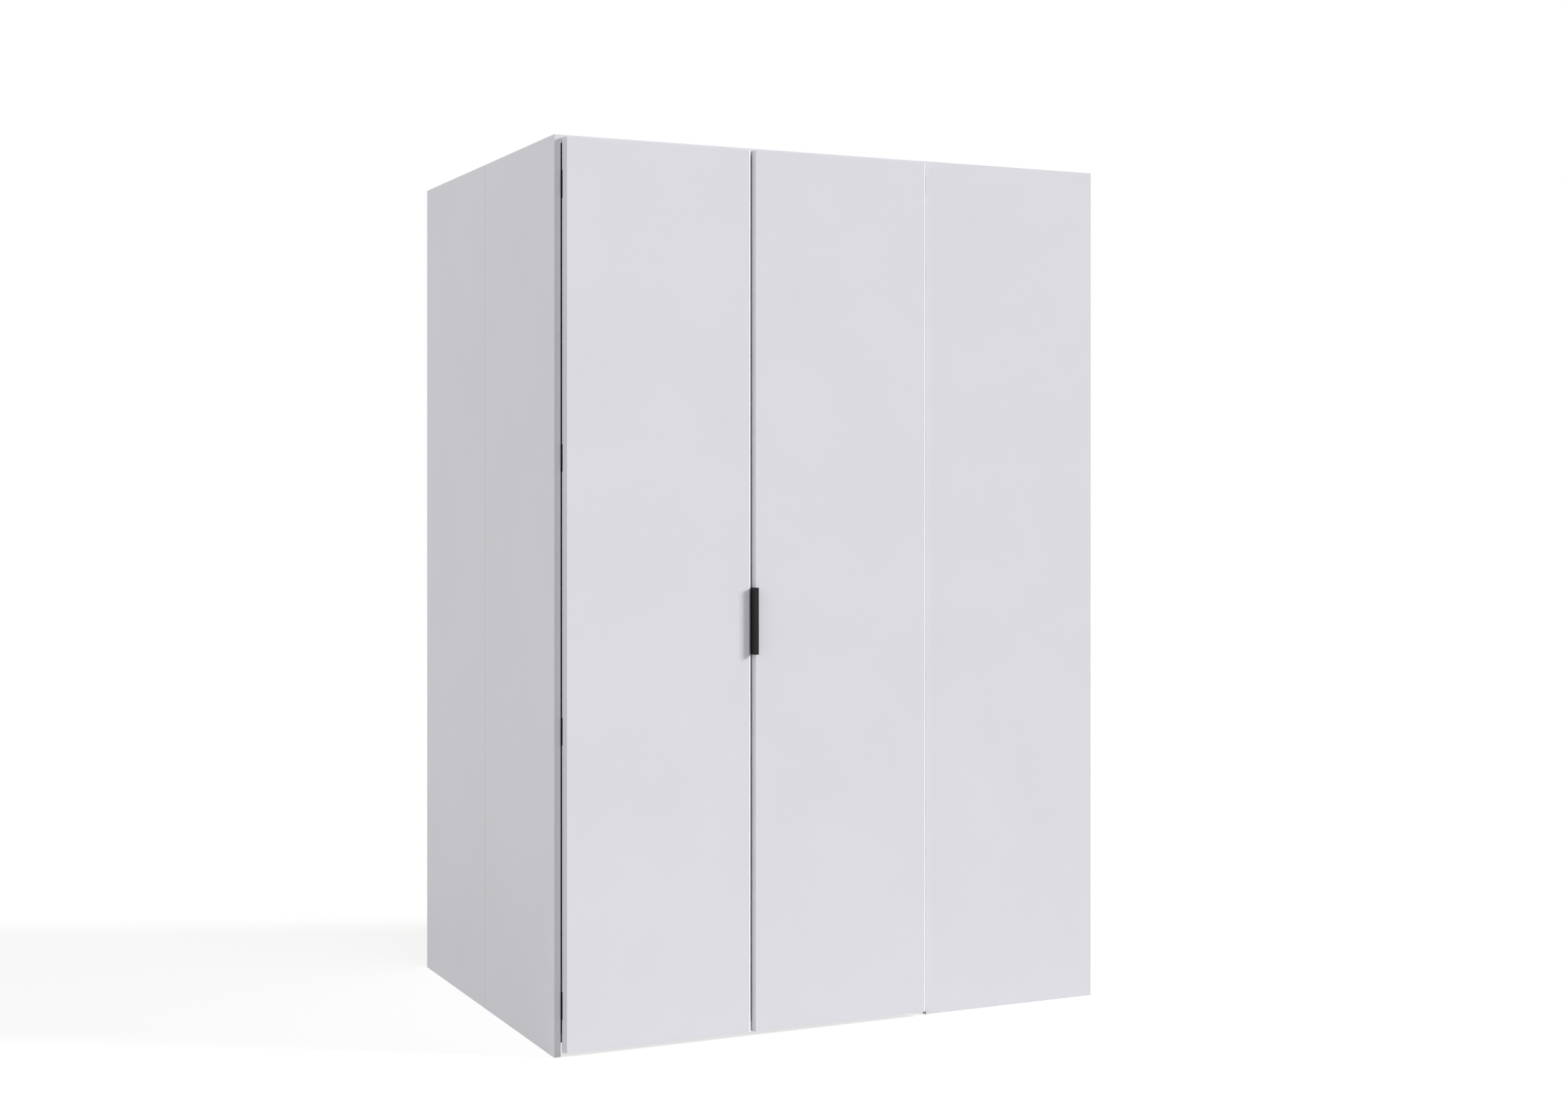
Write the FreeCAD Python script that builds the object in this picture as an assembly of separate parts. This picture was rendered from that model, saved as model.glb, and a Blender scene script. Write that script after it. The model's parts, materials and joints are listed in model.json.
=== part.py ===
import FreeCAD, Part
import os
from FreeCAD import Vector

# Corner wardrobe: a deep carcass in two halves, a folding pair of doors and a fixed blind front panel.
# Sizes are millimetres. X runs right from the outer left face, Y runs back from the front edge of the
# left side and Z runs up from the floor. save() moves each piece so that the origin lies on the floor
# under the middle of the whole object.

# Carcass boards
width = 1500.0
height = 2180.0
board_depth = 540.0
side_t = 16.0
deck_t = 19.0
bottom_lift = 30.0
panel_w = 500.0
panel_t = 16.0
upright_depth = 100.0
edge_ease = 0.8
seam_gap = 1.6

# Battens across the seam between the front and rear boards
batten_w = 60.0
batten_t = 16.0

# Hardboard back in grooves
back_t = 3.0
back_inset = 14.0
groove_w = 3.4
groove_depth = 7.0
back_seat_gap = 0.5
strip_web = 1.5
strip_flange_w = 14.0
strip_flange_t = 1.1
strip_fit = 0.1

# Doors
door_t = 16.0
door_chamfer = 6.5
door_back_gap = 2.0
door_top_gap = 6.5
door_floor_gap = 12.0
side_gap = 3.0
fold_gap = 5.0
end_gap = 7.0

# Knuckle hinges
hinge_count = 4
hinge_h = 60.0
hinge_end = 110.0
wing_t = 1.5
wing_reach = 40.0
knuckle_r = 3.0
knuckle_gap = 0.5
knuckle_side_gap = 0.5
pivot_back = 0.5
fold_back = 4.0
pin_r = 1.5
pin_fit = 0.03
pin_run = 0.08
pin_proud = 1.0
notch_room = 0.5
notch_end = 2.5

# Guide bars and carriage
guide_w = 12.0
guide_h = 18.0
guide_setback = 3.0
guide_end_gap = 0.5
guide_ease = 1.5
arm_t = 4.0
arm_neck = 6.0
arm_w = 12.0
arm_drop = 3.0
carriage_hinge_h = 36.0
post_r = 3.0
post_offset = 22.0
post_fit = 0.05
glide_len = 40.0
glide_w = 10.0
glide_side_gap = 0.8
glide_top_gap = 1.0
glide_lift = 2.0
stop_gap = 0.5
stop_fit = 0.1

# Edge pull
handle_h = 164.0
handle_t = 2.5
handle_out = 15.0
handle_lip = 10.5
handle_leg = 26.0
handle_over_hinge = 138.0
handle_round = 1.0
handle_screw_r = 1.75
handle_screw_len = 13.0
handle_screw_inset = 25.0
screw_head_r = 3.5
screw_head_h = 2.0
screw_fit = 0.1

# Inside fittings
shelf_t = 16.0
shelf_side_gap = 1.0
shelf_front_gap = 2.0
shelf_back_gap = 2.0
hat_space = 345.0
bay_shelves = 3
support_r = 2.5
support_depth = 10.0
support_inset = 40.0
support_w = 10.0
support_h = 8.0
support_fit = 0.1
rail_r = 12.5
rail_t = 1.5
rail_drop = 65.0
rail_end_gap = 1.0
socket_flange_r = 25.0
socket_flange_t = 4.0
socket_wall = 3.0
socket_len = 16.0
socket_fit = 0.15

# Feet, cam fittings and wall angles
foot_pad_r = 22.0
foot_pad_h = 6.0
foot_stem_r = 9.0
foot_head_r = 25.0
foot_head_h = 5.0
foot_setback = 135.0
foot_columns = 3
cam_r = 7.5
cam_depth = 12.5
cam_from_end = 34.0
cam_inset = 64.0
cam_fit = 0.1
cam_slot_w = 1.5
cam_slot_len = 10.0
bolt_r = 3.0
bolt_thread_r = 2.5
bolt_thread_len = 11.0
bolt_bore_r = 4.0
bolt_fit = 0.1
angle_leg = 40.0
angle_w = 30.0
angle_t = 2.0
angle_hole_r = 3.25
angle_hole_drop = 24.0
angle_from_side = 110.0

# Two places nearer than this count as one
same_place = 0.001

# Places that follow from the sizes above
X_AXIS = Vector(1, 0, 0)
Y_AXIS = Vector(0, 1, 0)
Z_AXIS = Vector(0, 0, 1)
depth = 2 * board_depth
seam_y = board_depth
rear_y = seam_y + seam_gap
right_inner = width - side_t
bottom_top = bottom_lift + deck_t
top_under = height - deck_t
panel_x = width - panel_w
batten_front = seam_y - batten_w / 2
batten_back = seam_y + batten_w / 2

door_w = (panel_x - side_t - side_gap - fold_gap - end_gap) / 2
door_z0 = door_floor_gap
door_z1 = height - door_top_gap
door_back = -door_back_gap
door_front = door_back - door_t
left_leaf_x0 = side_t + side_gap
left_leaf_x1 = left_leaf_x0 + door_w
right_leaf_x0 = left_leaf_x1 + fold_gap
right_leaf_x1 = right_leaf_x0 + door_w

# The side pivot clears the side by its knuckle, and the carriage pivot mirrors it about the fold pivot.
# The three pivots make a triangle with two equal sides, so the carriage runs straight along the bars.
side_pivot = Vector(side_t + knuckle_side_gap + knuckle_r, door_back + pivot_back, 0)
fold_pivot = Vector(left_leaf_x1 + fold_gap / 2, door_back + fold_back, 0)
carriage_pivot = Vector(2 * fold_pivot.x - side_pivot.x, side_pivot.y, 0)
knuckle_room = knuckle_r + knuckle_gap
wing_start = knuckle_r + 2 * knuckle_gap
notch_reach = side_pivot.x - side_t + notch_room
hinge_step = (door_z1 - door_z0 - 2 * hinge_end) / (hinge_count - 1)
hinge_heights = [door_z0 + hinge_end + i * hinge_step for i in range(hinge_count)]
knuckle_share = hinge_h / 3
handle_z0 = hinge_heights[1] + hinge_h / 2 + handle_over_hinge

guide_x0 = side_t + guide_end_gap
guide_x1 = panel_x - guide_end_gap
guide_y0 = panel_t + guide_setback
guide_mid = guide_y0 + guide_w + glide_side_gap + glide_w / 2
guide_z0 = top_under - guide_h
arm_z1 = guide_z0 - arm_drop
arm_z0 = arm_z1 - arm_t
carriage_hinge_z0 = arm_z1 - carriage_hinge_h
carriage_hinge_mid = arm_z1 - carriage_hinge_h / 2
post = Vector(carriage_pivot.x - post_offset, guide_mid, 0)

groove_y0 = depth - back_inset - groove_w
back_y0 = groove_y0 + (groove_w - back_t) / 2
back_y1 = back_y0 + back_t
inner_w = right_inner - side_t
shelf_y0 = batten_back + shelf_front_gap
shelf_y1 = back_y0 - strip_flange_t - shelf_back_gap
partition_x1 = panel_x + side_t
hat_shelf_z = top_under - hat_space - shelf_t
rail_y = (shelf_y0 + shelf_y1) / 2
rail_z = hat_shelf_z - rail_drop

# The box runs from the front of the pull to the rear edges of the sides.
front_reach = handle_out - door_front
origin = Vector(width / 2, (depth - front_reach) / 2, 0)


def save(name, solids):
    """Write one piece, or a group of like pieces, with the origin under the middle of the object."""
    shape = Part.makeCompound(solids)
    shape.translate(-origin)
    shape.exportStep("parts/" + name + ".step")


def box(x0, x1, y0, y1, z0, z1):
    """A block between two corners."""
    return Part.makeBox(x1 - x0, y1 - y0, z1 - z0, Vector(x0, y0, z0))


def rod(radius, x, y, z0, z1):
    """An upright round bar."""
    return Part.makeCylinder(radius, z1 - z0, Vector(x, y, z0), Z_AXIS)


def eased(shape, places):
    """Break the upright edges that stand at the given (x, y) places."""
    return shape.makeChamfer(edge_ease, upright_edges(shape, places))


def upright_edges(shape, places):
    """The upright edges of a shape at the given (x, y) places."""
    found = []
    for edge in shape.Edges:
        low = edge.Vertexes[0].Point
        high = edge.Vertexes[-1].Point
        for x, y in places:
            stands = abs(low.x - x) + abs(low.y - y) + abs(high.x - x) + abs(high.y - y)
            if stands < same_place:
                found.append(edge)
    return found


def profile_along_z(points, z0, z1):
    """A straight-sided outline in plan, raised between two heights."""
    corners = [Vector(x, y, z0) for x, y in points]
    face = Part.Face(Part.makePolygon(corners + corners[:1]))
    return face.extrude(Vector(0, 0, z1 - z0))


def profile_along_x(points, x0, x1):
    """A straight-sided outline in Y and Z, drawn out between two X places."""
    corners = [Vector(x0, y, z) for y, z in points]
    face = Part.Face(Part.makePolygon(corners + corners[:1]))
    return face.extrude(Vector(x1 - x0, 0, 0))


# Cam fittings: each ties the end of a top or bottom board to a side


def deck_boards():
    """The four lying boards, each with its depth range and the height of its underside."""
    return {
        "top_front": (0, seam_y, top_under),
        "top_rear": (seam_y, depth, top_under),
        "bottom_front": (panel_t, seam_y, bottom_lift),
        "bottom_rear": (seam_y, depth, bottom_lift),
    }


def cam_places(board):
    """The (x, y, inward) place of every cam in one lying board."""
    y0, y1 = deck_boards()[board][:2]
    places = []
    for y in (y0 + cam_inset, y1 - cam_inset):
        places.append((side_t + cam_from_end, y, 1))
        places.append((right_inner - cam_from_end, y, -1))
    return places


def cam(x, y, under, inward):
    """A round cam with a driver slot below and a side bore that takes the bolt."""
    body = rod(cam_r, x, y, under, under + cam_depth)
    mid = under + deck_t / 2
    start = Vector(x - inward * 2 * cam_r, y, mid)
    bore = Part.makeCylinder(bolt_bore_r, 2 * cam_r + bolt_bore_r, start, X_AXIS * inward)
    slot = box(x - cam_slot_len / 2, x + cam_slot_len / 2, y - cam_slot_w / 2, y + cam_slot_w / 2,
               under, under + cam_slot_w)
    return body.cut(bore).cut(slot)


def cam_bolt(x, y, under, inward):
    """A bolt screwed into the side, with its shank in the board and its end inside the cam."""
    face_x = x - inward * cam_from_end
    mid = under + deck_t / 2
    thread_start = Vector(face_x - inward * bolt_thread_len, y, mid)
    thread = Part.makeCylinder(bolt_thread_r, bolt_thread_len, thread_start, X_AXIS * inward)
    shank = Part.makeCylinder(bolt_r, cam_from_end, Vector(face_x, y, mid), X_AXIS * inward)
    return thread.fuse(shank).removeSplitter()


def deck_bores(board):
    """The cam bore and the bolt bore at every cam of one lying board."""
    under = deck_boards()[board][2]
    bores = []
    for x, y, inward in cam_places(board):
        bores.append(rod(cam_r + cam_fit, x, y, under, under + cam_depth + cam_fit))
        start = Vector(x - inward * cam_from_end, y, under + deck_t / 2)
        bores.append(Part.makeCylinder(bolt_bore_r, cam_from_end, start, X_AXIS * inward))
    return bores


def side_bores(inner_x, inward, y0, y1):
    """The blind bores for bolt threads in a side board that spans y0 to y1."""
    bores = []
    for board in deck_boards():
        under = deck_boards()[board][2]
        for x, y, cam_inward in cam_places(board):
            if cam_inward == inward and y0 < y < y1:
                length = bolt_thread_len + bolt_fit
                start = Vector(inner_x, y, under + deck_t / 2)
                bores.append(Part.makeCylinder(bolt_thread_r + bolt_fit, length, start, X_AXIS * -inward))
    return bores


# Shelves and their supports


def shelf_list():
    """Every shelf as (name, x0, x1, underside height)."""
    bay_step = (top_under - bottom_top) / (bay_shelves + 1)
    shelves = [("hat_shelf", side_t, panel_x, hat_shelf_z)]
    for i in range(bay_shelves):
        name = "bay_shelf_" + str(i + 1)
        shelves.append((name, partition_x1, right_inner, bottom_top + (i + 1) * bay_step))
    return shelves


def support_places(x0, x1, under):
    """The (wall face, y, height, direction into the bay) of the four supports of one shelf."""
    mid = under - support_h / 2
    places = []
    for y in (shelf_y0 + support_inset, shelf_y1 - support_inset):
        places.append((x0, y, mid, 1))
        places.append((x1, y, mid, -1))
    return places


def shelf_support(face_x, y, mid, inward):
    """A pin in the wall with a flat block outside it that the shelf lies on."""
    start = Vector(face_x - inward * (support_depth - support_fit), y, mid)
    pin = Part.makeCylinder(support_r, support_depth, start, X_AXIS * inward)
    x_low = min(face_x, face_x + inward * support_w)
    block = box(x_low, x_low + support_w, y - support_w / 2, y + support_w / 2,
                mid - support_h / 2, mid + support_h / 2)
    return pin.fuse(block).removeSplitter()


def support_bores(wall_x, inward):
    """The blind bores for shelf supports in the wall face at wall_x."""
    bores = []
    bore_r = support_r + support_fit
    for _, x0, x1, under in shelf_list():
        for face_x, y, mid, direction in support_places(x0, x1, under):
            if abs(face_x - wall_x) < same_place and direction == inward:
                start = Vector(face_x, y, mid)
                bores.append(Part.makeCylinder(bore_r, support_depth, start, X_AXIS * -inward))
    return bores


# Carcass boards


def make_sides():
    """Both sides, each a front and a rear board with a fine joint; the rear is grooved for the back."""
    groove_z0 = bottom_top - groove_depth
    groove_z1 = top_under + groove_depth
    left_groove = box(side_t - groove_depth, side_t, groove_y0, groove_y0 + groove_w, groove_z0, groove_z1)
    right_groove = box(right_inner, right_inner + groove_depth, groove_y0, groove_y0 + groove_w,
                       groove_z0, groove_z1)

    left_front = eased(box(0, side_t, 0, seam_y, 0, height), [(0, 0), (0, seam_y)])
    save("left_side_front", [left_front.cut(side_bores(side_t, 1, 0, seam_y))])

    left_rear = eased(box(0, side_t, rear_y, depth, 0, height), [(0, rear_y)])
    left_cuts = [left_groove] + side_bores(side_t, 1, seam_y, depth) + support_bores(side_t, 1)
    save("left_side_rear", [left_rear.cut(left_cuts)])

    right_front = eased(box(right_inner, width, panel_t, seam_y, 0, height), [(width, seam_y)])
    save("right_side_front", [right_front.cut(side_bores(right_inner, -1, panel_t, seam_y))])

    right_rear = eased(box(right_inner, width, rear_y, depth, 0, height), [(width, rear_y)])
    right_cuts = [right_groove] + side_bores(right_inner, -1, seam_y, depth) + support_bores(right_inner, -1)
    save("right_side_rear", [right_rear.cut(right_cuts)])


def make_decks():
    """The top and bottom boards with their cams and bolts; the top is cut back behind the blind panel."""
    cams = []
    bolts = []
    for name, (y0, y1, under) in deck_boards().items():
        board = box(side_t, right_inner, y0, y1, under, under + deck_t).cut(deck_bores(name))
        if name == "top_front":
            board = board.cut(box(panel_x, right_inner, 0, panel_t, top_under, height))
        if name == "top_rear":
            board = board.cut(deck_groove(top_under))
        if name == "bottom_rear":
            board = board.cut(deck_groove(bottom_top - groove_depth))
        save(name, [board])
        for x, y, inward in cam_places(name):
            cams.append(cam(x, y, under, inward))
            bolts.append(cam_bolt(x, y, under, inward))
    save("cam_fittings", cams)
    save("cam_bolts", bolts)


def deck_groove(z0):
    """The groove for the back along a rear deck board."""
    return box(side_t, right_inner, groove_y0, groove_y0 + groove_w, z0, z0 + groove_depth)


def make_battens():
    """The battens that tie the front and rear boards together at the seam."""
    save("left_seam_batten", [box(side_t, side_t + batten_t, batten_front, batten_back,
                                  bottom_top, top_under)])
    save("right_seam_batten", [box(right_inner - batten_t, right_inner, batten_front, batten_back,
                                   bottom_top, top_under)])
    save("top_seam_batten", [box(side_t + batten_t, right_inner - batten_t, batten_front, batten_back,
                                 top_under - batten_t, top_under)])
    save("bottom_seam_rail", [box(side_t, right_inner, batten_front, batten_back, 0, bottom_lift)])


def make_fixed_front():
    """The blind panel in front of the carcass edges, and the upright behind its free edge."""
    panel = eased(box(panel_x, width, 0, panel_t, 0, height), [(panel_x, 0), (width, 0)])
    save("fixed_panel", [panel])
    save("panel_upright", [box(panel_x, partition_x1, panel_t, panel_t + upright_depth,
                               bottom_top, top_under)])


def make_back():
    """Three hardboard sheets in grooves, joined by two H strips, of which one stands behind the partition."""
    right_joint = (panel_x + partition_x1) / 2
    joints = [(side_t + right_joint) / 2, right_joint]
    half_web = strip_web / 2 + strip_fit
    edges = [side_t - groove_depth + back_seat_gap]
    for joint in joints:
        edges = edges + [joint - half_web, joint + half_web]
    edges.append(right_inner + groove_depth - back_seat_gap)
    z0 = bottom_top - groove_depth + back_seat_gap
    z1 = top_under + groove_depth - back_seat_gap
    holes = []
    for x in angle_places():
        start = Vector(x, back_y0, top_under - angle_hole_drop)
        holes.append(Part.makeCylinder(angle_hole_r, back_t, start, Y_AXIS))
    for i, name in enumerate(["back_left", "back_middle", "back_right"]):
        sheet = box(edges[2 * i], edges[2 * i + 1], back_y0, back_y1, z0, z1)
        save(name, [sheet.cut(holes)])
    save("back_joint_strips", [joint_strip(joint) for joint in joints])


def joint_strip(x):
    """One H-section strip that holds the edges of two sheets."""
    front = back_y0 - strip_fit
    rear = back_y1 + strip_fit
    half = strip_flange_w / 2
    web = box(x - strip_web / 2, x + strip_web / 2, front, rear, bottom_top, top_under)
    front_flange = box(x - half, x + half, front - strip_flange_t, front, bottom_top, top_under)
    rear_flange = box(x - half, x + half, rear, rear + strip_flange_t, bottom_top, top_under)
    return web.fuse([front_flange, rear_flange]).removeSplitter()


def make_inside():
    """The partition, the shelves with their supports, and the clothes rail in its sockets."""
    partition = box(panel_x, partition_x1, shelf_y0, shelf_y1, bottom_top, top_under)
    save("partition", [partition.cut(support_bores(panel_x, -1) + support_bores(partition_x1, 1))])
    supports = []
    for name, x0, x1, under in shelf_list():
        save(name, [box(x0 + shelf_side_gap, x1 - shelf_side_gap, shelf_y0, shelf_y1,
                        under, under + shelf_t)])
        for face_x, y, mid, inward in support_places(x0, x1, under):
            supports.append(shelf_support(face_x, y, mid, inward))
    save("shelf_supports", supports)

    rail_start = Vector(side_t + rail_end_gap, rail_y, rail_z)
    rail_len = panel_x - side_t - 2 * rail_end_gap
    tube = Part.makeCylinder(rail_r, rail_len, rail_start, X_AXIS)
    bore = Part.makeCylinder(rail_r - rail_t, rail_len, rail_start, X_AXIS)
    save("clothes_rail", [tube.cut(bore)])
    save("rail_socket_left", [rail_socket(side_t, 1)])
    save("rail_socket_right", [rail_socket(panel_x, -1)])


def rail_socket(face_x, inward):
    """A flange on the wall with a collar round the end of the rail."""
    start = Vector(face_x, rail_y, rail_z)
    axis = X_AXIS * inward
    flange = Part.makeCylinder(socket_flange_r, socket_flange_t, start, axis)
    collar = Part.makeCylinder(rail_r + socket_wall, socket_len, start, axis)
    bore = Part.makeCylinder(rail_r + socket_fit, socket_len, start, axis)
    return flange.fuse(collar).cut(bore).removeSplitter()


def make_feet():
    """Turned feet under the bottom boards, in a front and a rear row."""
    feet = []
    for i in range(foot_columns):
        x = side_t + inner_w * (i + 1) / (foot_columns + 1)
        for y in (panel_t + foot_setback, depth - foot_setback):
            pad = rod(foot_pad_r, x, y, 0, foot_pad_h)
            stem = rod(foot_stem_r, x, y, 0, bottom_lift)
            head = rod(foot_head_r, x, y, bottom_lift - foot_head_h, bottom_lift)
            feet.append(pad.fuse([stem, head]).removeSplitter())
    save("feet", feet)


def angle_places():
    """The X places of the two wall angles."""
    return [side_t + angle_from_side, right_inner - angle_from_side]


def make_wall_angles():
    """Steel angles under the top, with a hole for a wall screw through the back."""
    angles = []
    for x in angle_places():
        x0 = x - angle_w / 2
        x1 = x + angle_w / 2
        shelf = box(x0, x1, back_y0 - angle_leg, back_y0, top_under - angle_t, top_under)
        leg = box(x0, x1, back_y0 - angle_t, back_y0, top_under - angle_leg, top_under)
        start = Vector(x, back_y0 - angle_t, top_under - angle_hole_drop)
        hole = Part.makeCylinder(angle_hole_r, angle_t, start, Y_AXIS)
        angles.append(shelf.fuse(leg).cut(hole).removeSplitter())
    save("wall_angles", angles)


# Doors


def door_board(x0):
    """A door leaf with both front upright edges cut at 45 degrees."""
    x1 = x0 + door_w
    board = box(x0, x1, door_front, door_back, door_z0, door_z1)
    return board.makeChamfer(door_chamfer, upright_edges(board, [(x0, door_front), (x1, door_front)]))


def pivot_notch(pivot, edge_x, z0, z1):
    """The cut in a leaf's back corner that leaves room for the knuckles on one pivot."""
    towards_leaf = 1 if pivot.x < fold_pivot.x else -1
    inner_x = pivot.x + towards_leaf * notch_reach
    return box(min(edge_x, inner_x), max(edge_x, inner_x), pivot.y - notch_reach, door_back,
               z0 - notch_end, z1 + notch_end)


def make_doors():
    """Both leaves, notched for their pivots and drilled for the pull's screws."""
    left = door_board(left_leaf_x0)
    notches = [pivot_notch(side_pivot, left_leaf_x0, z - hinge_h / 2, z + hinge_h / 2) for z in hinge_heights]
    save("door_left", [left.cut(notches)])

    right = door_board(right_leaf_x0)
    cuts = [pivot_notch(carriage_pivot, right_leaf_x1, carriage_hinge_z0, arm_z1)]
    for x, z in handle_screw_places():
        start = Vector(x, door_back, z)
        cuts.append(Part.makeCylinder(handle_screw_r + screw_fit, handle_screw_len, start, -Y_AXIS))
    save("door_right", [right.cut(cuts)])


# Hinges: flat wings with knuckles on a pin. On the side and the carriage the pivot stands at the leaf's
# back corner; at the fold it stands behind both backs, so that the leaves fold back to back.


def knuckle(pivot, z0, z1):
    """A solid knuckle round a pivot."""
    return rod(knuckle_r, pivot.x, pivot.y, z0, z1)


def pin_bore(pivot, z0, z1, clearance):
    """The bore for a pin through a wing's knuckles."""
    return rod(pin_r + clearance, pivot.x, pivot.y, z0, z1)


def pin_at(pivot, z0, z1):
    """A hinge pin that stands a little past its knuckles."""
    return rod(pin_r, pivot.x, pivot.y, z0 - pin_proud, z1 + pin_proud)


def wing_ends(z):
    """The two end knuckle ranges of a hinge at height z."""
    low = z - hinge_h / 2
    high = z + hinge_h / 2
    return [(low, low + knuckle_share - knuckle_gap), (high - knuckle_share + knuckle_gap, high)]


def wing_middle(z):
    """The middle knuckle range of a hinge at height z."""
    return [(z - knuckle_share / 2, z + knuckle_share / 2)]


def carcass_wing(z):
    """The wing on the inside of the left side, with the two end knuckles of a side hinge."""
    low = z - hinge_h / 2
    high = z + hinge_h / 2
    plate = box(side_t, side_t + wing_t, side_pivot.y, side_pivot.y + wing_reach, low, high)
    middle_low, middle_high = wing_middle(z)[0]
    room = rod(knuckle_room, side_pivot.x, side_pivot.y, middle_low - knuckle_gap, middle_high + knuckle_gap)
    knuckles = [knuckle(side_pivot, z0, z1) for z0, z1 in wing_ends(z)]
    wing = plate.cut(room).fuse(knuckles).removeSplitter()
    return wing.cut(pin_bore(side_pivot, low, high, pin_fit))


def leaf_wing(pivot, towards_leaf, z0, z1, ranges, clearance):
    """A wing on the back of a leaf, with a tongue and a knuckle in each of the given height ranges."""
    start_x = pivot.x + towards_leaf * wing_start
    end_x = pivot.x + towards_leaf * wing_reach
    plate = box(min(start_x, end_x), max(start_x, end_x), door_back, door_back + wing_t, z0, z1)
    tongue_y1 = max(door_back + wing_t, pivot.y)
    additions = []
    for low, high in ranges:
        additions.append(box(min(pivot.x, start_x), max(pivot.x, start_x), door_back, tongue_y1, low, high))
        additions.append(knuckle(pivot, low, high))
    wing = plate.fuse(additions).removeSplitter()
    return wing.cut(pin_bore(pivot, z0, z1, clearance))


def make_hinges():
    """The side hinges and the fold hinges, each as two sets of wings and a set of pins."""
    carcass_wings = []
    side_leaf_wings = []
    side_pins = []
    fold_left_wings = []
    fold_right_wings = []
    fold_pins = []
    for z in hinge_heights:
        z0 = z - hinge_h / 2
        z1 = z + hinge_h / 2
        carcass_wings.append(carcass_wing(z))
        side_leaf_wings.append(leaf_wing(side_pivot, 1, z0, z1, wing_middle(z), pin_run))
        side_pins.append(pin_at(side_pivot, z0, z1))
        fold_left_wings.append(leaf_wing(fold_pivot, -1, z0, z1, wing_middle(z), pin_fit))
        fold_right_wings.append(leaf_wing(fold_pivot, 1, z0, z1, wing_ends(z), pin_run))
        fold_pins.append(pin_at(fold_pivot, z0, z1))
    save("side_hinge_carcass_wings", carcass_wings)
    save("side_hinge_leaf_wings", side_leaf_wings)
    save("side_hinge_pins", side_pins)
    save("fold_hinge_left_wings", fold_left_wings)
    save("fold_hinge_right_wings", fold_right_wings)
    save("fold_hinge_pins", fold_pins)


# Guide bars and carriage: the carriage hangs on the right leaf's outer pivot. Its long glide runs between
# the bars without turning, so it keeps that pivot on a straight line along the front.


def guide_bar(y0):
    """One bar under the top, with its two lower edges broken."""
    y1 = y0 + guide_w
    section = [
        (y0, guide_z0 + guide_ease), (y0 + guide_ease, guide_z0), (y1 - guide_ease, guide_z0),
        (y1, guide_z0 + guide_ease), (y1, top_under), (y0, top_under),
    ]
    return profile_along_x(section, guide_x0, guide_x1)


def make_track():
    """The two guide bars, and the stop between them at the closing end."""
    slot_half = glide_w / 2 + glide_side_gap
    save("guide_bars", [guide_bar(guide_mid - slot_half - guide_w), guide_bar(guide_mid + slot_half)])
    stop = box(post.x + glide_len / 2 + stop_gap, guide_x1, guide_mid - slot_half + stop_fit,
               guide_mid + slot_half - stop_fit, guide_z0 + glide_lift, top_under)
    save("track_stop", [stop])


def make_carriage():
    """The arm with its knuckle and post, the hinge wing and pin, and the glide between the bars."""
    half_neck = arm_neck / 2
    half_arm = arm_w / 2
    arm_outline = [
        (carriage_pivot.x - half_neck, carriage_pivot.y), (carriage_pivot.x + half_neck, carriage_pivot.y),
        (carriage_pivot.x + half_neck, post.y + half_arm), (post.x - half_arm, post.y + half_arm),
        (post.x - half_arm, post.y - half_arm), (carriage_pivot.x - half_neck, post.y - half_arm),
    ]
    plate = profile_along_z(arm_outline, arm_z0, arm_z1)
    barrel = knuckle(carriage_pivot, carriage_hinge_mid + knuckle_gap / 2, arm_z1)
    glide_z0 = guide_z0 + glide_lift
    glide_z1 = top_under - glide_top_gap
    post_top = (glide_z0 + 2 * glide_z1) / 3
    arm = plate.fuse([barrel, rod(post_r, post.x, post.y, arm_z0, post_top)]).removeSplitter()
    save("carriage_arm", [arm.cut(pin_bore(carriage_pivot, carriage_hinge_z0, arm_z1, pin_fit))])
    save("carriage_pin", [pin_at(carriage_pivot, carriage_hinge_z0, arm_z1)])
    save("carriage_glide", [glide_block(glide_z0, glide_z1, post_top)])

    wing_range = [(carriage_hinge_z0, carriage_hinge_mid - knuckle_gap / 2)]
    wing = leaf_wing(carriage_pivot, -1, carriage_hinge_z0, arm_z1, wing_range, pin_run)
    save("carriage_hinge_wing", [wing])


def glide_block(z0, z1, post_top):
    """A block with half-round ends and a socket for the post."""
    end_r = glide_w / 2
    reach = glide_len / 2 - end_r
    middle = box(post.x - reach, post.x + reach, post.y - end_r, post.y + end_r, z0, z1)
    ends = [rod(end_r, post.x - reach, post.y, z0, z1), rod(end_r, post.x + reach, post.y, z0, z1)]
    socket = rod(post_r + post_fit, post.x, post.y, z0, post_top + post_fit)
    return middle.fuse(ends).removeSplitter().cut(socket)


# Edge pull


def handle_screw_places():
    """The (x, z) places of the pull's screws."""
    x = right_leaf_x0 + (handle_leg - handle_t) / 2
    return [(x, handle_z0 + handle_screw_inset), (x, handle_z0 + handle_h - handle_screw_inset)]


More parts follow.
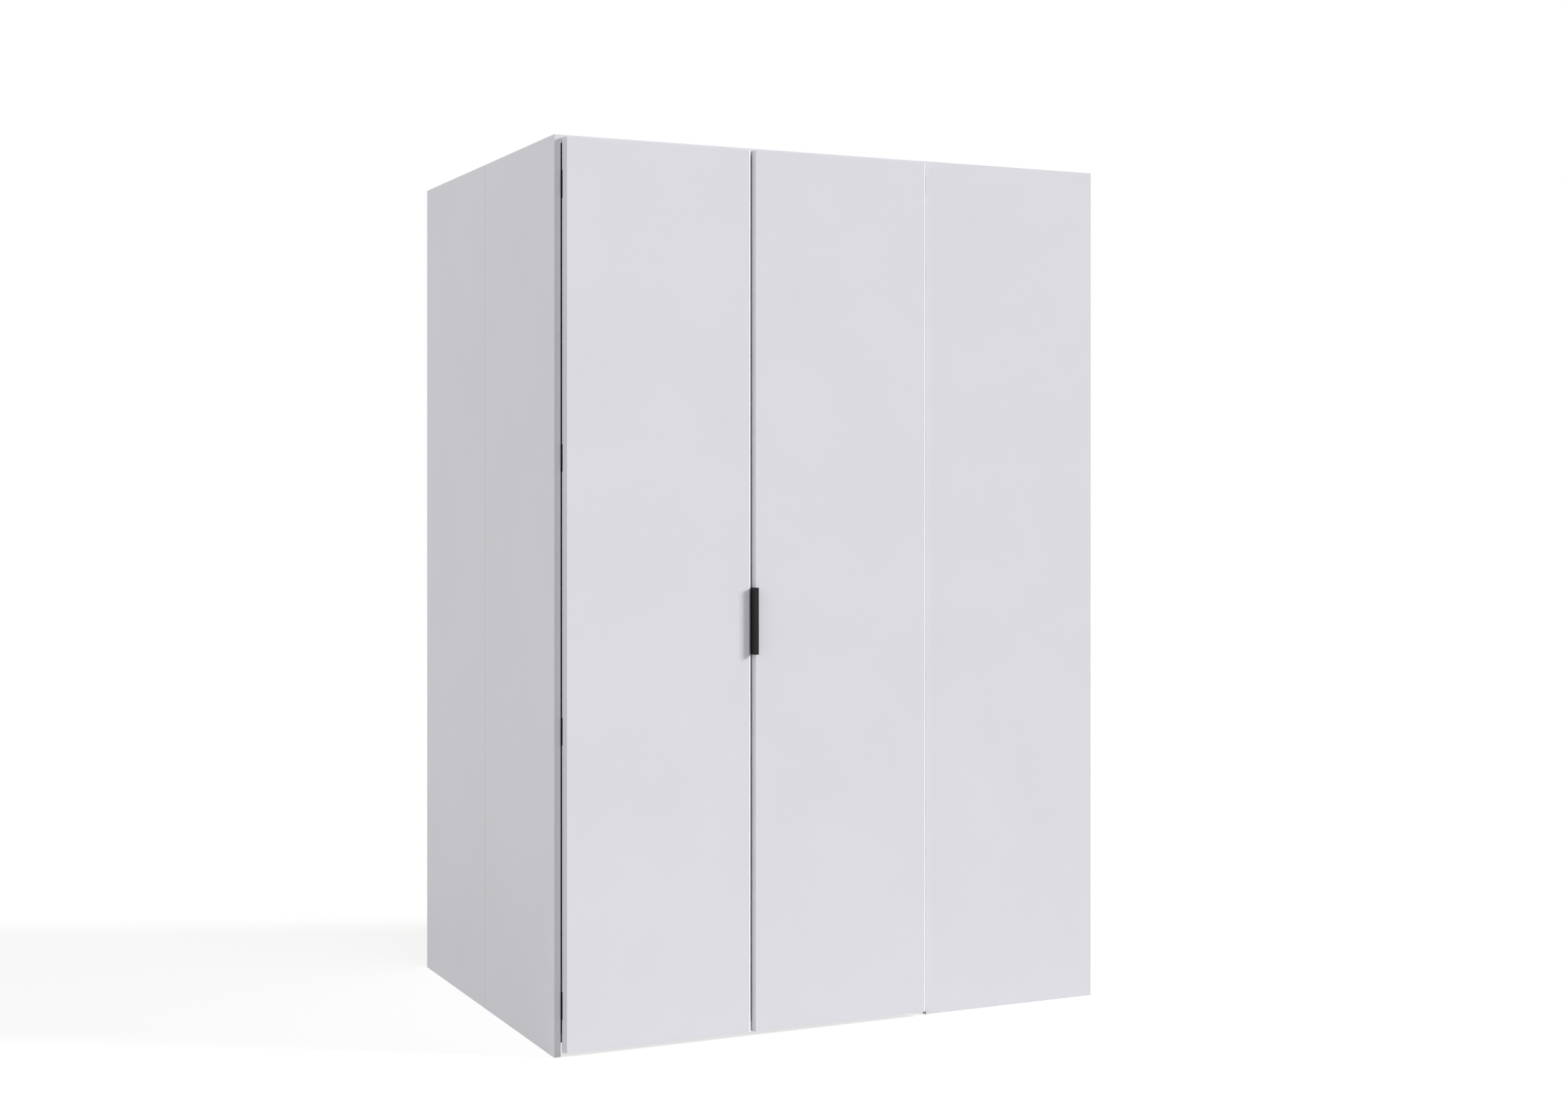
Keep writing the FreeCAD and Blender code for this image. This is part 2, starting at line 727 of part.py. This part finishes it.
def make_handle():
    """A bent profile round the leaf's edge: a leg on the back, a web in the gap and a lip in front."""
    x0 = right_leaf_x0 - handle_t
    y0 = door_front - handle_out
    y1 = door_back + handle_t
    lip_x = x0 + handle_lip
    outline = [(x0, y0), (lip_x, y0), (lip_x, y0 + handle_t), (right_leaf_x0, y0 + handle_t),
               (right_leaf_x0, door_back), (x0 + handle_leg, door_back), (x0 + handle_leg, y1), (x0, y1)]
    profile = profile_along_z(outline, handle_z0, handle_z0 + handle_h)
    rounded = profile.makeFillet(handle_round, upright_edges(profile, [(x0, y0), (lip_x, y0), (x0, y1)]))
    holes = []
    screws = []
    for x, z in handle_screw_places():
        seat = Vector(x, y1, z)
        holes.append(Part.makeCylinder(handle_screw_r + screw_fit, handle_t, seat, -Y_AXIS))
        shank = Part.makeCylinder(handle_screw_r, handle_screw_len, seat, -Y_AXIS)
        head = Part.makeCylinder(screw_head_r, screw_head_h, seat, Y_AXIS)
        screws.append(shank.fuse(head).removeSplitter())
    save("pull_handle", [rounded.cut(holes)])
    save("handle_screws", screws)


os.makedirs("parts", exist_ok=True)
make_sides()
make_decks()
make_battens()
make_fixed_front()
make_back()
make_inside()
make_feet()
make_wall_angles()
make_doors()
make_hinges()
make_track()
make_carriage()
make_handle()
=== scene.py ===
import json
import math

import bpy
import numpy as np
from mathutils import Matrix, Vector


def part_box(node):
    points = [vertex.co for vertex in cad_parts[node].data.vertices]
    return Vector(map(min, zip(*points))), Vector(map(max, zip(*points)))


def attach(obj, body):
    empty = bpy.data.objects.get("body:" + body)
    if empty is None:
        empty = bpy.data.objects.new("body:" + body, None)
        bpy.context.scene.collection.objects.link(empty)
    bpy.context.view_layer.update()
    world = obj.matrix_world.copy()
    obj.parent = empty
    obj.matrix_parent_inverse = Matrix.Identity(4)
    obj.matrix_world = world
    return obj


# Corner wardrobe, dressed for its picture: procedural finishes on the CAD nodes, the screws that hold the
# fittings, a pale floor, soft light from the right with a weak fill from the left, and the photograph's
# level camera. Units are metres.

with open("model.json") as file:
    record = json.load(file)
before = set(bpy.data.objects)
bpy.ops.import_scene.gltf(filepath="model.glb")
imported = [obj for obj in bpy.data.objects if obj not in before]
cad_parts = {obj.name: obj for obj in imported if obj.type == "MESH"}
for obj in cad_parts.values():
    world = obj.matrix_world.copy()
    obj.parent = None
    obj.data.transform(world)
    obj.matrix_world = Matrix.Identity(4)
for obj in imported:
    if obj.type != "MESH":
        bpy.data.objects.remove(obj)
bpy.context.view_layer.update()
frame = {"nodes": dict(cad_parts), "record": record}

MM = 0.001

# Screws
HEAD_R = 3.5 * MM
HEAD_PROUD = 0.5 * MM
DOME_POWER = 4
RECESS_REACH = 2.0 * MM
RECESS_HALF = 0.45 * MM
RECESS_DEPTH = 0.8 * MM
HEAD_RINGS = 13
HEAD_STEPS = 48
HINGE_COUNT = 4
HINGE_H = 60 * MM
WING_T = 1.5 * MM
WING_EDGE = 9 * MM
WING_STEP = 14 * MM
WING_SPREAD = 20 * MM
BATTEN_SPREAD = 15 * MM
ROW_END = 60 * MM
BATTEN_ROWS = 8
BAR_W = 12 * MM
BAR_ROWS = 6
ANGLE_W = 30 * MM
ANGLE_T = 2 * MM
ANGLE_SCREW_EDGE = 14 * MM
SOCKET_FLANGE_T = 4 * MM
SOCKET_SCREW_R = 20 * MM

# Seam of the carcass boards, whose facing edges are painted darker as shade in the gap: how far past it a
# face still belongs to it, and how squarely that face looks across it
SEAM_MARGIN = 0.1 * MM
SEAM_FACING = 0.7

# Camera, read from the photograph's two vanishing points
CAMERA_PLACE = (-2.4487, -5.4055, 1.3409)
CAMERA_YAW = math.radians(-25.21)
CAMERA_LENS_MM = 50.0
CAMERA_SENSOR_MM = 36.0
CAMERA_SHIFT_Y = -0.0410

# Light: a soft key that grazes the front from the right, a weak broad fill from the left, and surroundings
# that are brighter on the left
KEY_TOWARDS = (0.830, -0.437, 0.345)
KEY_SPREAD = math.radians(16)
KEY_STRENGTH = 3.0
FILL_TOWARDS = (-0.93, -0.20, 0.31)
FILL_SPREAD = math.radians(30)
FILL_STRENGTH = 0.45
AMBIENT = 0.40
AMBIENT_SLOPE = (-0.65, -0.16, 0.0)
FLOOR_REACH = 40.0
FLOOR_LIFT = 0.71


def paint(code):
    """A colour written as sRGB hex, as the linear values that shaders take."""
    parts = [int(code[i:i + 2], 16) / 255 for i in (1, 3, 5)]
    linear = [p / 12.92 if p <= 0.04045 else ((p + 0.055) / 1.055) ** 2.4 for p in parts]
    return (*linear, 1.0)


# Materials


def add_node(tree, kind, inputs=None, **settings):
    """One new node with its settings and the values of its sockets."""
    node = tree.nodes.new(kind)
    for name, value in settings.items():
        setattr(node, name, value)
    for name, value in (inputs or {}).items():
        node.inputs[name].default_value = value
    return node


def blank_material(name):
    """A material without any node."""
    material = bpy.data.materials.new(name)
    material.use_nodes = True
    material.node_tree.nodes.clear()
    return material, material.node_tree


def new_material(name, roughness, metallic=0.0, specular=0.5):
    """A material with its principled shader."""
    material, tree = blank_material(name)
    shader = add_node(tree, "ShaderNodeBsdfPrincipled",
                      {"Roughness": roughness, "Metallic": metallic, "Specular IOR Level": specular})
    output = add_node(tree, "ShaderNodeOutputMaterial")
    tree.links.new(shader.outputs["BSDF"], output.inputs["Surface"])
    return material, tree, shader


def noise(tree, size_mm, stretch=(1.0, 1.0, 1.0), detail=3.0):
    """Noise on Object coordinates whose lumps are about size_mm wide, and longer along a stretched axis."""
    place = add_node(tree, "ShaderNodeTexCoord")
    mapping = add_node(tree, "ShaderNodeMapping", {"Scale": tuple(1.0 / s for s in stretch)})
    texture = add_node(tree, "ShaderNodeTexNoise", {"Scale": 1.0 / (size_mm * MM), "Detail": detail})
    tree.links.new(place.outputs["Object"], mapping.inputs["Vector"])
    tree.links.new(mapping.outputs["Vector"], texture.inputs["Vector"])
    return texture.outputs["Fac"]


def two_tone(tree, factor, low, high, edge0=0.35, edge1=0.65):
    """A blend from one colour to another as the factor passes between two edges."""
    ramp = add_node(tree, "ShaderNodeValToRGB")
    ramp.color_ramp.elements[0].position = edge0
    ramp.color_ramp.elements[0].color = paint(low)
    ramp.color_ramp.elements[1].position = edge1
    ramp.color_ramp.elements[1].color = paint(high)
    tree.links.new(factor, ramp.inputs["Fac"])
    return ramp.outputs["Color"]


def masked(tree, mask, plain, marked):
    """The plain colour where the mask is 0 and the marked one where it is 1."""
    mix = add_node(tree, "ShaderNodeMix", data_type="RGBA")
    tree.links.new(mask, mix.inputs["Factor"])
    tree.links.new(plain, mix.inputs["A"])
    tree.links.new(marked, mix.inputs["B"])
    return mix.outputs["Result"]


def roughen(tree, shader, factor, height_mm, strength):
    """Raise the surface by a height field."""
    bump = add_node(tree, "ShaderNodeBump", {"Strength": strength, "Distance": height_mm * MM})
    tree.links.new(factor, bump.inputs["Height"])
    tree.links.new(bump.outputs["Normal"], shader.inputs["Normal"])


def vary_gloss(tree, shader, factor, low, high):
    """Let the roughness drift between two values."""
    spread = add_node(tree, "ShaderNodeMapRange", {"To Min": low, "To Max": high})
    tree.links.new(factor, spread.inputs["Value"])
    tree.links.new(spread.outputs["Result"], shader.inputs["Roughness"])


def seam_edges(tree, front_edge, rear_edge):
    """1 on the edges that face each other across the seam at mid depth, else 0: the mask of the painted
    seam shade.
    """
    middle = (front_edge + rear_edge) / 2
    reach = (rear_edge - front_edge) / 2 + SEAM_MARGIN
    place = add_node(tree, "ShaderNodeTexCoord")
    depth = add_node(tree, "ShaderNodeSeparateXYZ")
    facing = add_node(tree, "ShaderNodeSeparateXYZ")
    near = add_node(tree, "ShaderNodeMath", {1: middle, 2: reach}, operation="COMPARE")
    size = add_node(tree, "ShaderNodeMath", operation="ABSOLUTE")
    across = add_node(tree, "ShaderNodeMath", {1: SEAM_FACING}, operation="GREATER_THAN")
    both = add_node(tree, "ShaderNodeMath", operation="MULTIPLY")
    tree.links.new(place.outputs["Object"], depth.inputs["Vector"])
    tree.links.new(place.outputs["Normal"], facing.inputs["Vector"])
    tree.links.new(depth.outputs["Y"], near.inputs[0])
    tree.links.new(facing.outputs["Y"], size.inputs[0])
    tree.links.new(size.outputs["Value"], across.inputs[0])
    tree.links.new(near.outputs["Value"], both.inputs[0])
    tree.links.new(across.outputs["Value"], both.inputs[1])
    return both.outputs["Value"]


def melamine_board(front_edge, rear_edge):
    """White melamine on chipboard: a cool white with a barely uneven tone and a faint pearl grain, and on
    the edges that face each other across the seam a bare chipboard brown, painted darker than the core as
    shade in the gap. The real grain is under a millimetre; it is drawn at 5 mm so that it shows at all."""
    material, tree, shader = new_material("white melamine board", roughness=0.42)
    white = two_tone(tree, noise(tree, size_mm=260.0), "#E7E6EC", "#E9E8EE")
    # Painted shade: the seam edges' brown is the bare chipboard core, made darker to stand in for the
    # shadow in the gap
    core_and_seam_shade = two_tone(tree, noise(tree, size_mm=4.0), "#86745B", "#A08D72")
    seam_shade_mask = seam_edges(tree, front_edge, rear_edge)
    tree.links.new(masked(tree, seam_shade_mask, white, core_and_seam_shade), shader.inputs["Base Color"])
    roughen(tree, shader, noise(tree, size_mm=5.0), height_mm=0.05, strength=0.12)
    return material


def spruce_rail():
    """Planed softwood: warm, with long streaks of grain along the rail."""
    material, tree, shader = new_material("planed spruce", roughness=0.6)
    grain = noise(tree, size_mm=6.0, stretch=(40.0, 1.0, 1.0), detail=5.0)
    tree.links.new(two_tone(tree, grain, "#B98F5C", "#DDBD8B"), shader.inputs["Base Color"])
    roughen(tree, shader, grain, height_mm=0.2, strength=0.3)
    return material


def printed_hardboard(middle):
    """Hardboard: white print with faint fibres on the room side, bare brown fibre on the wall side.
    The two sides meet at the sheet's middle plane."""
    material, tree, shader = new_material("white printed hardboard", roughness=0.55)
    fibres = noise(tree, size_mm=9.0, stretch=(1.0, 1.0, 3.0), detail=6.0)
    white = two_tone(tree, fibres, "#E2E1E4", "#E8E7EA")
    brown = two_tone(tree, fibres, "#7A5636", "#97704A")
    place = add_node(tree, "ShaderNodeTexCoord")
    split = add_node(tree, "ShaderNodeSeparateXYZ")
    rear = add_node(tree, "ShaderNodeMath", {1: middle}, operation="GREATER_THAN")
    tree.links.new(place.outputs["Object"], split.inputs["Vector"])
    tree.links.new(split.outputs["Y"], rear.inputs[0])
    tree.links.new(masked(tree, rear.outputs["Value"], white, brown), shader.inputs["Base Color"])
    roughen(tree, shader, fibres, height_mm=0.1, strength=0.2)
    return material


def moulded_plastic(name, low, high, roughness):
    """Moulded plastic: an even tone with a fine spark-eroded grain, drawn at 3 mm so that it shows."""
    material, tree, shader = new_material(name, roughness)
    grain = noise(tree, size_mm=3.0)
    tree.links.new(two_tone(tree, grain, low, high), shader.inputs["Base Color"])
    roughen(tree, shader, grain, height_mm=0.05, strength=0.2)
    return material


def powder_coated_steel():
    """Matt black powder coat on steel: near black, with a fine sandy grain that softens every glint."""
    material, tree, shader = new_material("black powder-coated steel", roughness=0.75, specular=0.2)
    grain = noise(tree, size_mm=1.5, detail=2.0)
    tree.links.new(two_tone(tree, grain, "#2A2A2B", "#333334"), shader.inputs["Base Color"])
    roughen(tree, shader, grain, height_mm=0.08, strength=0.25)
    return material


def burnished_steel():
    """Burnished black steel: a deep dull black with faint cloudy wear in its gloss."""
    material, tree, shader = new_material("burnished black steel", roughness=0.7, specular=0.12)
    clouds = noise(tree, size_mm=12.0)
    tree.links.new(two_tone(tree, clouds, "#0B0B0C", "#121213"), shader.inputs["Base Color"])
    vary_gloss(tree, shader, clouds, low=0.6, high=0.8)
    return material


def satin_aluminium():
    """Drawn aluminium: fine lines along the bars make a soft streaked shine."""
    material, tree, shader = new_material("satin aluminium", roughness=0.38, metallic=1.0)
    lines = noise(tree, size_mm=1.5, stretch=(120.0, 1.0, 1.0))
    tree.links.new(two_tone(tree, lines, "#B9BCBF", "#CDCFD1"), shader.inputs["Base Color"])
    vary_gloss(tree, shader, lines, low=0.3, high=0.46)
    return material


def zinc_plate():
    """Zinc-plated steel: cool grey metal with a cloudy passivated tone."""
    material, tree, shader = new_material("zinc-plated steel", roughness=0.36, metallic=1.0)
    clouds = noise(tree, size_mm=8.0)
    tree.links.new(two_tone(tree, clouds, "#AEB4B9", "#C9CCCC"), shader.inputs["Base Color"])
    vary_gloss(tree, shader, clouds, low=0.28, high=0.44)
    return material


def polished_chrome():
    """Chrome plate: a bright mirror with slight hand wear in its gloss."""
    material, tree, shader = new_material("polished chrome", roughness=0.1, metallic=1.0)
    wear = noise(tree, size_mm=45.0)
    tree.links.new(two_tone(tree, wear, "#D9DADB", "#E3E4E5"), shader.inputs["Base Color"])
    vary_gloss(tree, shader, wear, low=0.06, high=0.16)
    return material


def finishes():
    """The material of every slot in the record."""
    back_low, back_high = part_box("back_middle")
    front_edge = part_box("left_side_front")[1].y
    rear_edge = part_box("left_side_rear")[0].y
    return {
        "white_board": melamine_board(front_edge, rear_edge),
        "softwood": spruce_rail(),
        "hardboard": printed_hardboard((back_low.y + back_high.y) / 2),
        "white_plastic": moulded_plastic("white plastic", "#E3E3E4", "#E8E8E9", roughness=0.45),
        "black_plastic": moulded_plastic("black plastic", "#1D1D1E", "#262627", roughness=0.45),
        "rubber": moulded_plastic("black rubber", "#161616", "#1E1E1E", roughness=0.8),
        "zinc": zinc_plate(),
        "chrome": polished_chrome(),
        "aluminium": satin_aluminium(),
        "black_steel": powder_coated_steel(),
        "burnished_steel": burnished_steel(),
    }


def new_object(name, data):
    """A new object, linked to the scene."""
    thing = bpy.data.objects.new(name, data)
    bpy.context.scene.collection.objects.link(thing)
    return thing


def dress(materials):
    """Give each CAD node the finish of its slot."""
    for part in frame["record"]["subparts"]:
        mesh = frame["nodes"][part["node"]].data
        mesh.materials.clear()
        mesh.materials.append(materials[part["material_slot"]])


# Screws


def screw_head():
    """The seen face of one countersunk screw: a disc of rings whose height is a low dome that falls to the
    seat at its rim, less a cross-shaped recess. Its axis is +Z. Returns vertices and quads."""
    radius = HEAD_R * np.linspace(0.0, 1.0, HEAD_RINGS)[:, None]
    angle = np.linspace(0.0, 2 * math.pi, HEAD_STEPS, endpoint=False)[None, :]
    x = radius * np.cos(angle)
    y = radius * np.sin(angle)
    dome = HEAD_PROUD * (1.0 - (radius / HEAD_R) ** DOME_POWER)
    narrow = np.minimum(abs(x), abs(y))
    inside = (narrow < RECESS_HALF) & (radius < RECESS_REACH)
    z = np.where(inside, np.minimum(dome, HEAD_PROUD - RECESS_DEPTH), dome)
    vertices = np.stack([x, y, z], axis=-1).reshape(-1, 3)
    ring = np.arange(HEAD_RINGS - 1)[:, None] * HEAD_STEPS
    step = np.arange(HEAD_STEPS)[None, :]
    after = (step + 1) % HEAD_STEPS
    outer = ring + HEAD_STEPS
    quads = np.stack([ring + step, outer + step, outer + after, ring + after], axis=-1)
    return vertices, quads.reshape(-1, 4)


def turned_to(axis):
    """The 3 by 3 turn that takes +Z to a main axis."""
    axis = np.asarray(axis, float)
    across = np.array([0.0, 0.0, 1.0]) if abs(axis[2]) < 0.5 else np.array([1.0, 0.0, 0.0])
    first = np.cross(across, axis)
    return np.stack([first, np.cross(axis, first), axis], axis=1)


def screws(name, body, material, places, axis):
    """A row of like screws at the given places, all facing along one axis."""
    head, quads = screw_head()
    places = np.asarray(places, float).reshape(-1, 3)
    vertices = (head @ turned_to(axis).T)[None] + places[:, None]
    faces = quads[None] + np.arange(len(places))[:, None, None] * len(head)
    mesh = bpy.data.meshes.new(name)
    mesh.from_pydata(vertices.reshape(-1, 3).tolist(), [], faces.reshape(-1, 4).tolist())
    mesh.materials.append(material)
    piece = new_object(name, mesh)
    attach(piece, body)


def rows(low, high, count):
    """Evenly spaced places between two ends, each set in by the usual end distance."""
    return np.linspace(low + ROW_END, high - ROW_END, count)


def grid(xs, ys, zs):
    """Every meeting of the given coordinates, as places."""
    return np.stack(np.meshgrid(xs, ys, zs, indexing="ij"), axis=-1).reshape(-1, 3)


def wing_places(node):
    """Along-the-wing and upward offsets of the screws of one row of wings, as (edge offset, height) pairs:
    two near the free edge and one nearer the knuckle."""
    low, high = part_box(node)
    heights = np.linspace(low.z + HINGE_H / 2, high.z - HINGE_H / 2, HINGE_COUNT)
    pattern = np.array([(WING_EDGE, WING_SPREAD), (WING_EDGE, -WING_SPREAD), (WING_EDGE + WING_STEP, 0.0)])
    wings = np.stack([np.zeros(HINGE_COUNT), heights], axis=1)
    return (pattern[None] + wings[:, None]).reshape(-1, 2)


def hinge_screws(metal):
    """Screws in every wing: those of the carcass face right, those of the leaves face back."""
    offsets = wing_places("side_hinge_carcass_wings")
    free_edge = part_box("side_hinge_carcass_wings")[1].y
    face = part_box("left_side_front")[1].x + WING_T
    places = np.stack([np.full(len(offsets), face), free_edge - offsets[:, 0], offsets[:, 1]], axis=1)
    screws("carcass_wing_screws", "carcass", metal, places, (1, 0, 0))

    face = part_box("door_left")[1].y + WING_T
    leaf_wings = (("side_hinge_leaf_wings", "left_leaf", 1),
                  ("fold_hinge_left_wings", "left_leaf", -1),
                  ("fold_hinge_right_wings", "right_leaf", 1))
    for node, body, side in leaf_wings:
        offsets = wing_places(node)
        free_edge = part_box(node)[1].x if side > 0 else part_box(node)[0].x
        across = free_edge - side * offsets[:, 0]
        places = np.stack([across, np.full(len(offsets), face), offsets[:, 1]], axis=1)
        screws(node + "_screws", body, metal, places, (0, 1, 0))

    low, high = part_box("carriage_hinge_wing")
    ends = [low.z + WING_EDGE, high.z - WING_EDGE]
    screws("carriage_wing_screws", "right_leaf", metal,
           grid([low.x + WING_EDGE], [face], ends), (0, 1, 0))


def batten_screws(metal):
    """Two rows of screws along each seam batten, one into the front board and one into the rear board."""
    for node, side in (("left_seam_batten", 1), ("right_seam_batten", -1)):
        low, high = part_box(node)
        middle = (low.y + high.y) / 2
        lines = [middle - BATTEN_SPREAD, middle + BATTEN_SPREAD]
        face = high.x if side > 0 else low.x
        places = grid([face], lines, rows(low.z, high.z, BATTEN_ROWS))
        screws(node + "_screws", "carcass", metal, places, (side, 0, 0))
    low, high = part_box("top_seam_batten")
    middle = (low.y + high.y) / 2
    lines = [middle - BATTEN_SPREAD, middle + BATTEN_SPREAD]
    places = grid(rows(low.x, high.x, BATTEN_ROWS), lines, [low.z])
    screws("top_seam_batten_screws", "carcass", metal, places, (0, 0, -1))


def fitting_screws(metal):
    """Screws of the guide bars, the wall angles and the rail sockets."""
    low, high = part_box("guide_bars")
    places = grid(rows(low.x, high.x, BAR_ROWS), [low.y + BAR_W / 2, high.y - BAR_W / 2], [low.z])
    screws("guide_bar_screws", "carcass", metal, places, (0, 0, -1))

    low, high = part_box("wall_angles")
    middles = [low.x + ANGLE_W / 2, high.x - ANGLE_W / 2]
    places = grid(middles, [low.y + ANGLE_SCREW_EDGE], [high.z - ANGLE_T])
    screws("wall_angle_screws", "carcass", metal, places, (0, 0, -1))

    for node, side in (("rail_socket_left", 1), ("rail_socket_right", -1)):
        low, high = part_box(node)
        face = low.x + SOCKET_FLANGE_T if side > 0 else high.x - SOCKET_FLANGE_T
        middle = (low.z + high.z) / 2
        places = grid([face], [(low.y + high.y) / 2], [middle - SOCKET_SCREW_R, middle + SOCKET_SCREW_R])
        screws(node + "_screws", "carcass", metal, places, (side, 0, 0))


# Setting


def seen_white(tree):
    """1 for rays from the eye and for rays that metal or glass send on, else 0."""
    path = add_node(tree, "ShaderNodeLightPath")
    some = add_node(tree, "ShaderNodeMath", operation="MAXIMUM")
    every = add_node(tree, "ShaderNodeMath", operation="MAXIMUM")
    tree.links.new(path.outputs["Is Camera Ray"], some.inputs[0])
    tree.links.new(path.outputs["Is Glossy Ray"], some.inputs[1])
    tree.links.new(some.outputs["Value"], every.inputs[0])
    tree.links.new(path.outputs["Is Transmission Ray"], every.inputs[1])
    return every.outputs["Value"]


def pale_floor():
    """A wide pale grey floor that sends little light back. To the eye it is lifted, to white where the key
    reaches it, and the wardrobe's shadow stays on it faintly."""
    corner = FLOOR_REACH / 2
    mesh = bpy.data.meshes.new("floor")
    corners = [(-corner, -corner, 0), (corner, -corner, 0), (corner, corner, 0), (-corner, corner, 0)]
    mesh.from_pydata(corners, [], [(0, 1, 2, 3)])
    floor = new_object("floor", mesh)

    material, tree = blank_material("pale studio floor")
    matt = add_node(tree, "ShaderNodeBsdfDiffuse", {"Color": paint("#BCBCBC")})
    lift = add_node(tree, "ShaderNodeEmission", {"Color": paint("#FFFFFF")})
    share = add_node(tree, "ShaderNodeMath", {1: FLOOR_LIFT}, operation="MULTIPLY")
    both = add_node(tree, "ShaderNodeAddShader")
    output = add_node(tree, "ShaderNodeOutputMaterial")
    tree.links.new(seen_white(tree), share.inputs[0])
    tree.links.new(share.outputs["Value"], lift.inputs["Strength"])
    tree.links.new(matt.outputs["BSDF"], both.inputs[0])
    tree.links.new(lift.outputs["Emission"], both.inputs[1])
    tree.links.new(both.outputs["Shader"], output.inputs["Surface"])
    mesh.materials.append(material)


def surroundings():
    """A pale room: its brightness is the ambient level times one plus the slope along the ray's direction.
    To the eye it is plain white."""
    world = bpy.data.worlds.new("studio")
    bpy.context.scene.world = world
    world.use_nodes = True
    tree = world.node_tree
    tree.nodes.clear()
    ray = add_node(tree, "ShaderNodeTexCoord")
    slope = add_node(tree, "ShaderNodeVectorMath", {1: AMBIENT_SLOPE}, operation="DOT_PRODUCT")
    level = add_node(tree, "ShaderNodeMath", {1: AMBIENT, 2: AMBIENT}, operation="MULTIPLY_ADD")
    ambient = add_node(tree, "ShaderNodeBackground", {"Color": paint("#FFFFFF")})
    plain = add_node(tree, "ShaderNodeBackground", {"Color": paint("#FFFFFF"), "Strength": 1.0})
    choice = add_node(tree, "ShaderNodeMixShader")
    output = add_node(tree, "ShaderNodeOutputWorld")
    tree.links.new(ray.outputs["Generated"], slope.inputs[0])
    tree.links.new(slope.outputs["Value"], level.inputs[0])
    tree.links.new(level.outputs["Value"], ambient.inputs["Strength"])
    tree.links.new(seen_white(tree), choice.inputs["Fac"])
    tree.links.new(ambient.outputs["Background"], choice.inputs[1])
    tree.links.new(plain.outputs["Background"], choice.inputs[2])
    tree.links.new(choice.outputs["Shader"], output.inputs["Surface"])


def even_lamp(name, direction, spread, strength):
    """An even light from one direction, as soft as a large lamp that spans the spread. Shiny faces don't
    mirror it, so that a flat board seen along the light doesn't glare."""
    towards = Vector(direction)
    data = bpy.data.lights.new(name, "SUN")
    data.energy = strength
    data.angle = spread
    lamp = new_object(name, data)
    lamp.location = towards
    lamp.rotation_euler = towards.to_track_quat("Z", "Y").to_euler()
    lamp.visible_glossy = False


def level_camera():
    """The photograph's camera: level, turned to the right, with the frame shifted down."""
    data = bpy.data.cameras.new("camera")
    data.lens = CAMERA_LENS_MM
    data.sensor_width = CAMERA_SENSOR_MM
    data.shift_y = CAMERA_SHIFT_Y
    camera = new_object("camera", data)
    camera.location = CAMERA_PLACE
    camera.rotation_euler = (math.pi / 2, 0.0, CAMERA_YAW)
    bpy.context.scene.camera = camera


materials = finishes()
dress(materials)
hinge_screws(materials["burnished_steel"])
batten_screws(materials["zinc"])
fitting_screws(materials["zinc"])
pale_floor()
surroundings()
even_lamp("key", KEY_TOWARDS, KEY_SPREAD, KEY_STRENGTH)
even_lamp("fill", FILL_TOWARDS, FILL_SPREAD, FILL_STRENGTH)
level_camera()
bpy.context.scene.view_settings.view_transform = "Standard"
